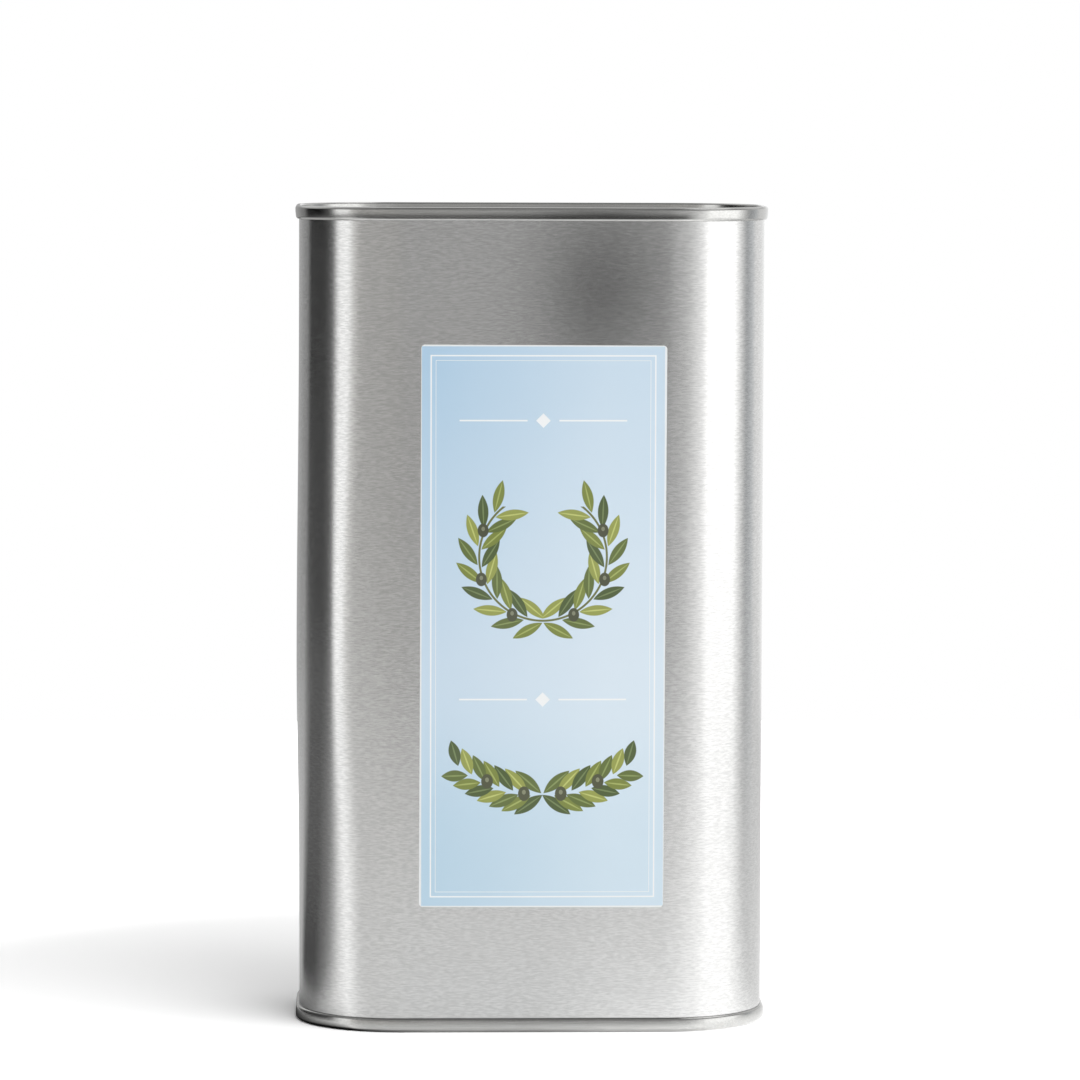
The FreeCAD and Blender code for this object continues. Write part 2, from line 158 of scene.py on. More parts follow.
# Cap and its liner
axis_radius = 0.6
cap_top_z = 185.4
cap_roof_z = 184.2
cap_bottom_z = 174.9
cap_radius = 12.65
cap_bore = 11.15
rib_margin = 1.4
rib_height = 0.4
rib_steps = 200
steps_per_rib = 5
notch_y = 11.05
notch_lift = 0.2
notch_size = (6.0, 4.0, 1.6)
lug_x = 11.4
lug_z = 185.85
lug_size = (1.7, 3.7, 2.0)
lug_round = 0.3
liner_radius = 11.0
liner_low_z = 183.65
liner_high_z = 184.15

# Bails
pivot_z = 186.05
pivot_hole_radius = 0.45
pin_radius = 0.4
pin_start = 9.9
pin_end = 12.25
bail_spread = 0.95
bail_outer_radius = 10.2
bail_width = 2.2
bail_thickness = 1.0


def colour(red, green, blue):
    """Linear colour of a screen colour in 0 to 255."""
    def linear(value):
        value /= 255
        return value / 12.92 if value <= 0.04045 else ((value + 0.055) / 1.055) ** 2.4
    return linear(red), linear(green), linear(blue), 1.0


def grey(level):
    """Grey of this linear level."""
    return level, level, level, 1.0


# Modelling by hand

def deselect():
    bpy.ops.object.select_all(action="DESELECT")


def select_all():
    bpy.ops.mesh.select_all(action="SELECT")


def close_edit():
    bpy.ops.object.mode_set(mode="OBJECT")


def apply_place():
    bpy.ops.object.transform_apply(location=True, rotation=True, scale=True)


def begin(name):
    """Names the primitive just added and opens it for editing."""
    piece = bpy.context.object
    piece.name = name
    piece.data.name = name
    apply_place()
    bpy.ops.object.mode_set(mode="EDIT")
    return piece


def block(name, size, middle):
    """A block to be shaped, open in edit mode."""
    deselect()
    bpy.ops.mesh.primitive_cube_add(size=1, location=middle)
    bpy.context.object.scale = size
    return begin(name)


def rod(name, radius, length, middle):
    """A round rod along X to be shaped, open in edit mode."""
    deselect()
    bpy.ops.mesh.primitive_cylinder_add(vertices=24, radius=radius, depth=length,
                                        rotation=(0, math.pi / 2, 0), location=middle)
    return begin(name)


def pick(piece, kind, test):
    """Selects only the vertices, edges or faces that pass the test."""
    bpy.ops.mesh.select_mode(type=kind)
    bpy.ops.mesh.select_all(action="DESELECT")
    mesh = bmesh.from_edit_mesh(piece.data)
    parts = {"VERT": mesh.verts, "EDGE": mesh.edges, "FACE": mesh.faces}[kind]
    for part in parts:
        if test(part):
            part.select_set(True)
    mesh.select_flush_mode()
    bmesh.update_edit_mesh(piece.data)


def reach(edge, axis):
    """How far an edge runs along an axis."""
    return abs(edge.verts[0].co[axis] - edge.verts[1].co[axis])


def push(x, y, z):
    """Extrudes what is selected by a straight move."""
    bpy.ops.mesh.extrude_region_move(TRANSFORM_OT_translate={"value": (x, y, z)})


def inset(width, depth=0.0):
    bpy.ops.mesh.inset(thickness=width, depth=depth, use_even_offset=True)


def round_edges(width, steps):
    """Rounds the edges that are selected."""
    bpy.ops.mesh.bevel(offset=width, segments=steps, affect="EDGES", profile=0.5)


def modify(piece, kind, **values):
    """Adds a modifier with these values and applies it."""
    modifier = piece.modifiers.new(kind.title(), kind)
    for name, value in values.items():
        setattr(modifier, name, value)
    bpy.context.view_layer.objects.active = piece
    bpy.ops.object.modifier_apply(modifier=modifier.name)


def face_outwards():
    select_all()
    bpy.ops.mesh.normals_make_consistent(inside=False)


def cut_away(piece, tool):
    """Takes the tool's shape out of the piece and throws the tool away."""
    modify(piece, "BOOLEAN", object=tool, operation="DIFFERENCE", solver="EXACT")
    bpy.data.objects.remove(tool)


def join(piece, *others):
    """Joins other pieces into one."""
    deselect()
    for other in others:
        other.select_set(True)
    piece.select_set(True)
    bpy.context.view_layer.objects.active = piece
    bpy.ops.object.join()


def finish(piece, body, node, material, smooth_angle=35):
    """Brings a piece to metres, smooths it and puts it in the place of its node."""
    if bpy.context.mode != "OBJECT":
        close_edit()
    deselect()
    piece.select_set(True)
    bpy.context.view_layer.objects.active = piece
    piece.scale = (millimetre, millimetre, millimetre)
    apply_place()
    bpy.ops.object.shade_smooth_by_angle(angle=math.radians(smooth_angle))
    piece.data.materials.clear()
    piece.data.materials.append(material)
    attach(piece, body)
    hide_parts(node)
    deselect()


def outward(point):
    """How far a point lies outside the body's rounded outline."""
    x = max(abs(point.x) - corner_x, 0)
    y = max(abs(point.y) - corner_y, 0)
    return math.hypot(x, y) - corner_radius


def on_loop(edge, offset, z):
    """True for an edge that runs round the can at this offset and height."""
    return all(abs(outward(v.co) - offset) < 0.02 and abs(v.co.z - z) < 0.005 for v in edge.verts)


def ease(share):
    """Runs smoothly from nought to one."""
    return 0.5 - 0.5 * math.cos(math.pi * min(1.0, max(0.0, share)))


def bulge(piece):
    """Bows the front a little outwards and lets the left corner belly out, as thin tinplate does."""
    for vertex in piece.data.vertices:
        x, y, z = vertex.co
        if y < 0:
            across = max(0.0, 1 - (x / front_bow_half_width) ** 2)
            upright = max(0.0, 1 - ((z - can_height / 2) / front_bow_half_height) ** 2)
            vertex.co.y -= front_bow * across * across * upright
        if x < -corner_x:
            straight = max(-corner_y, min(corner_y, y))
            away = Vector((x + corner_x, y - straight, 0)).normalized()
            # Way along the outline from the front's left end
            way = corner_radius * math.atan2(-away.x, -away.y) + straight + corner_y
            share = ease((way - corner_bow_start) / corner_bow_rise)
            share -= ease((way - corner_bow_end) / corner_bow_fall)
            height = (z - corner_bow_z) / (corner_bow_above if z > corner_bow_z else corner_bow_below)
            vertex.co += away * (corner_bow * share * math.exp(-height ** 2))


def arc_steps(radius, start, end, count):
    """Steps inwards and upwards along an arc, from one tilt of its surface to another, in degrees."""
    tilts = [math.radians(start + (end - start) * i / count) for i in range(count + 1)]
    return [(radius * (math.cos(low) - math.cos(high)), radius * (math.sin(high) - math.sin(low)))
            for low, high in zip(tilts, tilts[1:])]


def can_slab(name, offset, low, high):
    """A block with the can's outline, open in edit mode."""
    size = (body_width + 2 * offset, body_depth + 2 * offset, high - low)
    piece = block(name, size, (0, 0, (low + high) / 2))
    pick(piece, "EDGE", lambda e: reach(e, 2) > size[2] / 2)
    round_edges(corner_radius + offset, corner_steps)
    return piece


def turned(name, profile, steps=96, closed=True):
    """A ring drawn out of a circle along a profile of (radius, height) about the spout axis."""
    deselect()
    radius, height = profile[0]
    bpy.ops.mesh.primitive_circle_add(vertices=steps, radius=radius, location=(spout_x, 0, height))
    piece = begin(name)
    bpy.ops.mesh.select_mode(type="EDGE")
    select_all()
    for next_radius, next_height in profile[1:]:
        push(0, 0, next_height - height)
        share = next_radius / radius
        bpy.ops.transform.resize(value=(share, share, 1), center_override=(spout_x, 0, next_height))
        radius, height = next_radius, next_height
    if closed:
        pick(piece, "EDGE", lambda e: e.is_boundary)
        bpy.ops.mesh.bridge_edge_loops()
    else:
        for _, end_height in (profile[0], profile[-1]):
            pick(piece, "EDGE", lambda e: e.is_boundary and abs(e.verts[0].co.z - end_height) < 0.001)
            bpy.ops.mesh.edge_face_add()
    face_outwards()
    return piece


def rounded(piece, width, steps=3, angle=30):
    """Rounds the piece's sharp edges."""
    close_edit()
    modify(piece, "BEVEL", width=width, segments=steps, limit_method="ANGLE",
           angle_limit=math.radians(angle), use_clamp_overlap=True)


# Finishes

class Graph:
    """A node tree with helpers that add and link nodes."""

    def __init__(self, tree):
        self.nodes = tree.nodes
        self.links = tree.links

    def add(self, kind, *inputs, **settings):
        """Adds a node, sets its settings, and sets or links its inputs in order."""
        node = self.nodes.new(kind)
        for name, value in settings.items():
            setattr(node, name, value)
        for socket, value in zip(node.inputs, inputs):
            self.feed(socket, value)
        return node

    def feed(self, socket, value):
        """Links a socket to another, or sets its value."""
        if isinstance(value, bpy.types.NodeSocket):
            self.links.new(value, socket)
        else:
            socket.default_value = value

    def fill(self, node, **values):
        """Sets or links a node's inputs by their names."""
        for name, value in values.items():
            self.feed(node.inputs[name.replace("_", " ")], value)

    def math(self, operation, *inputs, clamp=False):
        return self.add("ShaderNodeMath", *inputs, operation=operation, use_clamp=clamp).outputs[0]

    def total(self, first, second, *others):
        """Sum of several values."""
        result = self.math("ADD", first, second)
        for other in others:
            result = self.math("ADD", result, other)
        return result

    def product(self, first, second, *others):
        """Product of several values."""
        result = self.math("MULTIPLY", first, second)
        for other in others:
            result = self.math("MULTIPLY", result, other)
        return result

    def slope(self, value, start, steepness):
        """Rises from nought at the start to one, or falls to nought there if the steepness is negative."""
        return self.math("MULTIPLY", self.math("SUBTRACT", value, start), steepness, clamp=True)

    def spread(self, value, low, high, from_low=0.0, from_high=1.0):
        """Maps a value from one range to another."""
        return self.add("ShaderNodeMapRange", value, from_low, from_high, low, high).outputs[0]

    def blend(self, share, first, second):
        """Mixes two colours."""
        node = self.add("ShaderNodeMix", share, data_type="RGBA")
        self.feed(node.inputs[6], first)
        self.feed(node.inputs[7], second)
        return node.outputs[2]

    def choose(self, share, first, second):
        """Mixes two shaders."""
        return self.add("ShaderNodeMixShader", share, first, second).outputs[0]

    def split(self, vector):
        return self.add("ShaderNodeSeparateXYZ", vector).outputs

    def bearing(self, parts):
        """Angle from the front, to the right as positive."""
        return self.math("ARCTAN2", parts["X"], self.math("MULTIPLY", parts["Y"], -1.0))

    def ramp(self, share, stops, interpolation="LINEAR"):
        """Colours along a share, from stops of a position and a colour."""
        node = self.add("ShaderNodeValToRGB", share)
        node.color_ramp.interpolation = interpolation
        points = node.color_ramp.elements
        while len(points) < len(stops):
            points.new(0.5)
        for point, (position, tone) in zip(points, stops):
            point.position = position
            point.color = tone
        return node.outputs["Color"]


class Finish(Graph):
    """A node material on object coordinates."""

    def __init__(self, name):
        self.material = bpy.data.materials.new(name)
        self.material.use_nodes = True
        super().__init__(self.material.node_tree)
        self.shader = self.nodes["Principled BSDF"]
        self.surface = self.nodes["Material Output"].inputs["Surface"]
        self.place = self.add("ShaderNodeTexCoord").outputs["Object"]

    def set(self, **values):
        self.fill(self.shader, **values)

    def noise(self, scale, detail=2.0, stretch=(1, 1, 1)):
        """Noise with so many cells to a metre along each axis."""
        place = self.add("ShaderNodeMapping", self.place)
        self.fill(place, Scale=stretch)
        cloud = self.add("ShaderNodeTexNoise")
        self.fill(cloud, Vector=place.outputs[0], Scale=scale, Detail=detail)
        return cloud.outputs["Fac"]

    def bump(self, height, strength, distance):
        node = self.add("ShaderNodeBump")
        self.fill(node, Strength=strength, Distance=distance, Height=height)
        self.set(Normal=node.outputs[0])


def tinplate(name, light, dark, roughness, stretch, grain, fine_cells, coarse_cells):
    """Bright tinplate with a brushed grain, given as cells to a metre along each axis."""
    metal = Finish(name)
    fine = metal.noise(1.0, 4.0, fine_cells)
    coarse = metal.noise(1.0, 3.0, coarse_cells)
    brush = metal.total(metal.product(fine, 0.8), metal.product(coarse, 0.2))
    cloud = metal.noise(24.0, 2.0)
    tone = metal.blend(metal.spread(brush, 0.0, 1.0, 0.38, 0.62), dark, light)
    level = metal.add("ShaderNodeTangent", direction_type="RADIAL", axis="Z").outputs[0]
    metal.set(Base_Color=tone, Metallic=1.0, Anisotropic=stretch, Anisotropic_Rotation=0.25, Tangent=level)
    metal.set(Roughness=metal.total(metal.spread(brush, roughness - 0.03, roughness + 0.03),
                                    metal.spread(cloud, -0.02, 0.02)))
    metal.bump(brush, grain, 0.00001)
    return metal.material


def moulded(name, tone, shade, roughness):
    """Moulded plastic with a faint grain and uneven tone."""
    plastic = Finish(name)
    cloud = plastic.noise(160.0, 3.0)
    grain = plastic.noise(2600.0, 2.0)
    plastic.set(Base_Color=plastic.blend(plastic.spread(cloud, 0.0, 1.0, 0.35, 0.65), shade, tone))
    plastic.set(Roughness=plastic.spread(grain, roughness - 0.06, roughness + 0.06))
    plastic.set(Subsurface_Weight=0.04, Subsurface_Scale=0.0008)
    plastic.bump(grain, 0.12, 0.00003)
    return plastic.material


def rubbery(name, tone, shade):
    """Dull rubber or sealing compound."""
    rubber = Finish(name)
    grain = rubber.noise(1500.0, 3.0)
    rubber.set(Base_Color=rubber.blend(grain, shade, tone))
    rubber.set(Roughness=rubber.spread(grain, 0.62, 0.8))
    rubber.bump(grain, 0.25, 0.00004)
    return rubber.material


def leaf_print():
    """Node group that draws one olive leaf: its mask and its middle rib."""
    edge_sharpness = 9.0
    rib_sharpness = 14.0
    rib_share = 0.16
    group = bpy.data.node_groups.new("olive leaf", "ShaderNodeTree")
    for socket, kind in (("Place", "NodeSocketVector"), ("Middle", "NodeSocketVector"),
                         ("Turn", "NodeSocketFloat"), ("Length", "NodeSocketFloat"),
                         ("Width", "NodeSocketFloat")):
        group.interface.new_socket(socket, in_out="INPUT", socket_type=kind)
    for socket in ("Leaf", "Rib"):
        group.interface.new_socket(socket, in_out="OUTPUT", socket_type="NodeSocketFloat")
    leaf = Graph(group)
    given = leaf.add("NodeGroupInput").outputs
    result = leaf.add("NodeGroupOutput")
    shift = leaf.add("ShaderNodeVectorMath", given["Place"], given["Middle"], operation="SUBTRACT")
    turn = leaf.add("ShaderNodeVectorRotate", rotation_type="Z_AXIS", invert=True)
    leaf.fill(turn, Vector=shift.outputs[0], Angle=given["Turn"])
    parts = leaf.split(turn.outputs[0])
    along = leaf.math("DIVIDE", parts["X"], leaf.product(given["Length"], 0.5))
    across = leaf.math("ABSOLUTE", parts["Y"])
    swell = leaf.math("SUBTRACT", 1.0, leaf.product(along, along))
    half = leaf.product(swell, leaf.product(given["Width"], 0.5))
    leaf.fill(result, Leaf=leaf.slope(half, across, edge_sharpness),
              Rib=leaf.slope(leaf.product(half, rib_share), across, rib_sharpness))
    return group


def printed_label():
    """Paper label: a pale blue ground, white rules, a wreath and a garland of olive leaves."""
    paper = Finish("printed label paper")
    place = paper.add("ShaderNodeMapping", paper.place)
    paper.fill(place, Scale=(1000, 1000, 1000), Location=(-label_centre.x, 0, -label_centre.z))
    parts = paper.split(place.outputs[0])
    across, up = parts["X"], parts["Z"]
    half = paper.math("ABSOLUTE", across)
    flat = paper.add("ShaderNodeCombineXYZ", half, up, 0.0).outputs[0]
    leaf_group = leaf_print()

    # Pale blue ground, from the foot of the label to its head, with painted light that makes it a little
    # lighter to the right
    ground = ((0.0, (188, 216, 234)), (0.16, (184, 214, 233)), (0.34, (207, 226, 241)),
              (0.5, (201, 222, 239)), (0.7, (193, 218, 237)), (1.0, (170, 204, 230)))
    ink = paper.ramp(paper.spread(up, 0.0, 1.0, -label_height / 2, label_height / 2),
                     [(position, colour(*tone)) for position, tone in ground], "B_SPLINE")
    painted_light_share = paper.spread(across, 0.0, 0.36, -label_width / 2, label_width / 4)
    ink = paper.blend(painted_light_share, ink, colour(246, 252, 255))
    white = colour(247, 250, 251)

    def stroke(distance, half_width):
        """Mask of a line of this half width along a distance of nought."""
        inside = paper.math("SUBTRACT", half_width, paper.math("ABSOLUTE", distance))
        return paper.math("MULTIPLY", inside, 12.0, clamp=True)

    def frame_distance(margin):
        """Distance outside a frame at this margin."""
        side = paper.math("SUBTRACT", half, label_width / 2 - margin)
        end = paper.math("SUBTRACT", paper.math("ABSOLUTE", up), label_height / 2 - margin)
        return paper.math("MAXIMUM", side, end)

    def leaf(middle, turn, length, width, tone):
        """Prints one leaf with a paler rib."""
        nonlocal ink
        node = paper.add("ShaderNodeGroup", node_tree=leaf_group)
        paper.fill(node, Place=flat, Middle=(*middle, 0), Turn=turn, Length=length, Width=width)
        ink = paper.blend(node.outputs["Leaf"], ink, colour(*tone))
        ink = paper.blend(node.outputs["Rib"], ink, colour(*(min(255, c + 44) for c in tone)))

    def olive(x, z, radius, tone):
        """Prints one olive with a paler glint."""
        nonlocal ink
        glint = tuple(c + 62 for c in tone)
        for lift, size, shade in ((0.0, radius, tone), (0.35, radius * 0.32, glint)):
            away_x = paper.math("DIVIDE", paper.math("SUBTRACT", half, x), size)
            away_z = paper.math("DIVIDE", paper.math("SUBTRACT", up, z + lift), size * 1.25)
            away = paper.total(paper.product(away_x, away_x), paper.product(away_z, away_z))
            mask = paper.math("MULTIPLY", paper.math("SUBTRACT", 1.0, away), 6.0, clamp=True)
            ink = paper.blend(mask, ink, colour(*shade))

    # White rules: a double frame and two dividers with a lozenge
    for margin, half_width in ((2.4, 0.2), (3.5, 0.1)):
        ink = paper.blend(stroke(frame_distance(margin), half_width), ink, white)
    rule_reach, rule_gap, rule_half_width, lozenge_reach = 19.0, 3.6, 0.22, 1.7
    for height in (47.0, -16.5):
        above = paper.math("SUBTRACT", up, height)
        rule = paper.product(stroke(above, rule_half_width), paper.math("LESS_THAN", half, rule_reach),
                             paper.math("GREATER_THAN", half, rule_gap))
        ink = paper.blend(rule, ink, white)
        lozenge = paper.total(half, paper.math("ABSOLUTE", above))
        ink = paper.blend(stroke(lozenge, lozenge_reach), ink, white)

    greens = ((122, 134, 52), (92, 108, 42), (150, 158, 72), (70, 88, 36))

    # Wreath of two sprigs, open at its head
    wreath_z, wreath_radius, stem_top = 16.0, 14.5, 11.5
    first_leaf, leaf_spacing = -84, 16.5
    above = paper.math("SUBTRACT", up, wreath_z)
    ring = paper.math("SQRT", paper.total(paper.product(across, across), paper.math("POWER", above, 2.0)))
    stem = paper.product(stroke(paper.math("SUBTRACT", ring, wreath_radius), 0.28),
                         paper.math("LESS_THAN", up, wreath_z + stem_top))
    ink = paper.blend(stem, ink, colour(104, 110, 52))
    for i in range(9):
        angle = math.radians(first_leaf + leaf_spacing * i)
        for side in (1, -1):
            radius = wreath_radius + 2.6 * side
            middle = (radius * math.cos(angle + 0.1), wreath_z + radius * math.sin(angle + 0.1))
            leaf(middle, angle + math.radians(90 - 34 * side), 7.8, 2.5, greens[(i + 1 - side) % 4])
    olive_ring = wreath_radius + 0.4
    for degrees in (-62, -20, 24):
        angle = math.radians(degrees)
        olive(olive_ring * math.cos(angle), wreath_z + olive_ring * math.sin(angle), 1.3, (66, 70, 44))

    # Garland of two lying sprigs
    garland_z, garland_start, garland_spacing, garland_rise = -38.0, 1.4, 2.8, 0.02
    for i in range(7):
        x = garland_start + garland_spacing * i
        z = garland_z + garland_rise * x * x
        for side in (1, -1):
            lean = math.atan(2 * garland_rise * x) + side * math.radians(38)
            leaf((x + 1.8, z + side * 2.6), lean, 8.0 - 0.3 * i, 2.7, greens[(i + side) % 4])
    for i in (1, 4):
        x = garland_start + garland_spacing * i
        olive(x, garland_z - 0.4 + garland_rise * x * x, 1.4, (72, 76, 46))

    # Bare paper along the cut edge
    ink = paper.blend(paper.math("GREATER_THAN", frame_distance(0.3), 0.0), ink, colour(240, 243, 244))

    fibre = paper.noise(900.0, 4.0)
    mottle = paper.noise(60.0, 2.0)
    ink = paper.blend(paper.spread(mottle, 0.0, 0.06), ink, grey(1.0))
    paper.set(Base_Color=ink, Roughness=paper.spread(fibre, 0.38, 0.5))
    paper.bump(fibre, 0.08, 0.00003)
    return paper.material


# The sleeve's grain runs level round the tin, and that of the ends runs along their width
body_tin = tinplate("brushed tinplate", colour(214, 214, 213), colour(196, 196, 195),
                    roughness=0.22, stretch=0.85, grain=0.14,
                    fine_cells=(700, 700, 3500), coarse_cells=(420, 420, 2300))
# The ends' tinplate is written darker than the sleeve's: a painted shade, meant to darken the seams
end_tin = tinplate("end tinplate", colour(191, 191, 189), colour(179, 179, 177),
                   roughness=0.18, stretch=0.5, grain=0.2,
                   fine_cells=(150, 3200, 3200), coarse_cells=(30, 900, 900))
spout_plastic = moulded("spout plastic", colour(222, 222, 217), colour(212, 212, 206), 0.4)
cap_plastic = moulded("cap plastic", colour(229, 229, 226), colour(220, 220, 215), 0.36)
liner_foam = moulded("liner foam", colour(218, 218, 210), colour(204, 204, 194), 0.7)
seal_rubber = rubbery("seal rubber", colour(58, 58, 61), colour(40, 40, 43))
seam_compound = rubbery("seam compound", colour(196, 186, 166), colour(172, 160, 140))
label_paper = printed_label()


# Can body

def body_shell():
    """Sleeve of tinplate with a welded lap down the middle of the back."""
    piece = can_slab("body_shell_skin", 0.0, sleeve_margin, can_height - sleeve_margin)
    pick(piece, "FACE", lambda f: abs(f.normal.z) > 0.9)
    bpy.ops.mesh.delete(type="FACE")
    # The long edges are divided, so that the sheet can bow
    for axis, cuts in ((2, 41), (0, 25), (1, 7)):
        pick(piece, "EDGE", lambda e: reach(e, axis) > 10)
        bpy.ops.mesh.subdivide(number_cuts=cuts)
    for x in (-weld_half_width, weld_half_width):
        pick(piece, "FACE", lambda f: f.normal.y > 0.99)
        bpy.ops.mesh.bisect(plane_co=(x, 0, 0), plane_no=(1, 0, 0))

    def on_weld(face):
        middle = face.calc_center_median()
        between_seams = weld_margin < middle.z < can_height - weld_margin
        return face.normal.y > 0.99 and abs(middle.x) < weld_half_width and between_seams

    pick(piece, "FACE", on_weld)
    push(0, weld_height, 0)
    close_edit()
    bulge(piece)
    modify(piece, "SOLIDIFY", thickness=sheet, offset=-1.0)
    finish(piece, "tin", "body_shell", body_tin)


def can_end(name, top):
    """An end: its panel, the groove and wall of its recess and the seam, drawn out of a flat block.

    It is shaped as a top end, with its rim at nought, and turned over for the bottom.
    """
    depth = can_height - panel_z if top else bottom_panel_z
    groove_depth = depth + countersink_depth
    rim = arc_steps(rim_radius, 0, 90, 8)
    foot = arc_steps(seam_face_radius, 0, seam_face_tilt, 6)
    foot += arc_steps(seam_foot_radius, seam_face_tilt, 90, 7)
    rim_width, rim_rise = (sum(steps) for steps in zip(*rim))
    foot_width, foot_rise = (sum(steps) for steps in zip(*foot))
    piece = can_slab(name, seam_outside, foot_rise - seam_height, -rim_rise)
    # Rim, and the recess from it down to the groove and up to the panel
    pick(piece, "FACE", lambda f: f.normal.z > 0.9)
    for width, rise in rim:
        inset(width, rise)
    inset(seam_outside - recess_wall_inside - rim_inside_radius - rim_width)
    for width, rise in arc_steps(rim_inside_radius, 90, 180, 6):
        inset(width, rise)
    push(0, 0, rim_inside_radius - groove_depth)
    inset(groove_width)
    inset(countersink_depth, countersink_depth)
    if not top:
        inset(step_margin)
        inset(step_depth, -step_depth)
    # Foot of the seam, the slot for the body's wall, and the underside of the panel
    pick(piece, "FACE", lambda f: f.normal.z < -0.9)
    for width, rise in foot:
        inset(width, rise)
    inset(seam_outside - seam_slot_outside - foot_width)
    push(0, 0, seam_height - seam_slot_roof)
    inset(seam_slot_outside - recess_wall_outside)
    push(0, 0, seam_slot_roof - groove_depth - sheet)
    inset(groove_width + sheet)
    inset(countersink_depth, -countersink_depth)
    if not top:
        inset(step_margin)
        inset(step_depth, step_depth)
    pick(piece, "EDGE", lambda e: on_loop(e, recess_wall_inside, -groove_depth))
    round_edges(groove_bend, 4)
    return piece


def top_end():
    """Top end with a hole and a curled neck for the spout."""
    piece = can_end("top_end_skin", True)
    select_all()
    bpy.ops.transform.translate(value=(0, 0, can_height))
    close_edit()
    hole_radius = neck_radius + neck_play
    hole = turned("hole", [(hole_radius, panel_z - 4), (hole_radius, panel_z + 4)], closed=False)
    close_edit()
    cut_away(piece, hole)
    outside = neck_radius + sheet
    curl_inside = curl_radius - sheet
    neck = turned("neck", [
        (neck_flare, panel_z - 0.01), (17.6, panel_z + 0.05), (16.9, panel_z + 0.2), (16.4, panel_z + 0.5),
        (outside, panel_z + 1.0), (outside, curl_bend_z), (16.2, curl_top_z - sheet),
        (17.1, curl_top_z - sheet), (curl_inside, 183.75), (curl_inside, curl_foot_z),
        (curl_radius, curl_foot_z), (curl_radius, curl_bend_z), (17.4, 184.1), (17.1, curl_top_z),
        (16.2, curl_top_z), (15.9, 184.1), (neck_radius, curl_bend_z), (neck_radius, panel_z - 0.2),
        (neck_flare, panel_z - 0.2)])
    close_edit()
    join(piece, neck)
    finish(piece, "tin", "top_end", end_tin)


def bottom_end():
    """Bottom end, the same drawing turned over."""
    piece = can_end("bottom_end_skin", False)
    select_all()
    bpy.ops.transform.rotate(value=math.pi, orient_axis="X", center_override=(0, 0, 0))
    finish(piece, "tin", "bottom_end", end_tin)


def front_label():
    """Label with small round corners, set a little askew on the front."""
    piece = block("front_label_sheet", (label_width, label_thickness, label_height),
                  label_centre - Vector((0, label_thickness / 2, 0)))
    pick(piece, "EDGE", lambda e: reach(e, 1) > label_thickness / 2)
    round_edges(label_corner, 6)
    # Cuts across and along it let it follow the front
    for normal, half_way, steps in ((Vector((1, 0, 0)), 27.0, 18), (Vector((0, 0, 1)), 63.0, 28)):
        for step in range(steps + 1):
            place = label_centre.dot(normal) - half_way + 2 * half_way * step / steps
            select_all()
            bpy.ops.mesh.bisect(plane_co=normal * place, plane_no=normal)
    select_all()
    bpy.ops.transform.rotate(value=-label_tilt, orient_axis="Y", center_override=tuple(label_centre))
    close_edit()
    bulge(piece)
    finish(piece, "tin", "front_label", label_paper)


# Spout and cap

def spout_well():
    """Cup that the cap sits in, with the guide and the sleeve of the tube."""
    piece = turned("spout_well_cup", [
        (guide_bore, well_floor_z), (well_bore, well_floor_z), (well_bore, flange_top_z),
        (curl_radius, flange_top_z), (curl_radius, flange_bottom_z), (well_radius, flange_bottom_z),
        (well_radius, well_foot_z), (tube_sleeve_radius, well_foot_z),
        (tube_sleeve_radius, tube_sleeve_foot_z), (tube_sleeve_bore, tube_sleeve_foot_z),
        (tube_sleeve_bore, guide_foot_z), (guide_bore, guide_foot_z), (guide_bore, wiper_groove_low_z),
        (wiper_groove_radius, wiper_groove_low_z), (wiper_groove_radius, wiper_groove_high_z),
        (guide_bore, wiper_groove_high_z)])
    rounded(piece, 0.2)
    finish(piece, "tin", "spout_well", spout_plastic)


def crimp_ring():
    """Tinplate ring folded over the flange and under the curl."""
    inside = crimp_radius - sheet
    piece = turned("crimp_ring_band", [
        (crimp_bore, crimp_top_z - sheet), (17.4, crimp_top_z - sheet), (17.56, 185.7), (inside, 185.55),
        (inside, 183.1), (17.55, 182.94), (crimp_hook, crimp_foot_z + sheet), (crimp_hook, crimp_foot_z),
        (17.6, crimp_foot_z), (17.8, 182.8), (crimp_radius, 183.0), (crimp_radius, 185.7), (17.8, 185.88),
        (17.66, 185.98), (17.45, crimp_top_z), (crimp_bore, crimp_top_z)], 128)
    finish(piece, "tin", "crimp_ring", end_tin)


def thread_ridge(wall, crest, turns, bottom, start_turn):
    """Screw ridge on a wall about the spout axis, left in object mode."""
    deselect()
    root = wall + math.copysign(thread_sink, wall - crest)
    bpy.ops.mesh.primitive_plane_add(size=1, rotation=(math.pi / 2, 0, 0))
    piece = begin("thread")
    bpy.ops.transform.resize(value=(abs(crest - root), 1, thread_width), center_override=(0, 0, 0))
    bpy.ops.transform.translate(value=((root + crest) / 2, 0, 0))
    pick(piece, "EDGE", lambda e: all(abs(v.co.x - crest) < 0.01 for v in e.verts))
    bpy.ops.transform.resize(value=(1, 1, thread_crest_share), center_override=(0, 0, 0))
    select_all()
    bpy.ops.mesh.delete(type="ONLY_FACE")
    close_edit()
    steps = int(thread_steps * turns)
    modify(piece, "SCREW", angle=2 * math.pi * turns, screw_offset=thread_pitch * turns,
           steps=steps, render_steps=steps, use_smooth_shade=False)
    piece.location = (spout_x, 0, bottom)
    piece.rotation_euler = (0, 0, 2 * math.pi * start_turn)
    apply_place()
    bpy.ops.object.mode_set(mode="EDIT")
    pick(piece, "EDGE", lambda e: e.is_boundary)
    bpy.ops.mesh.fill_holes(sides=0)
    face_outwards()
    close_edit()
    return piece


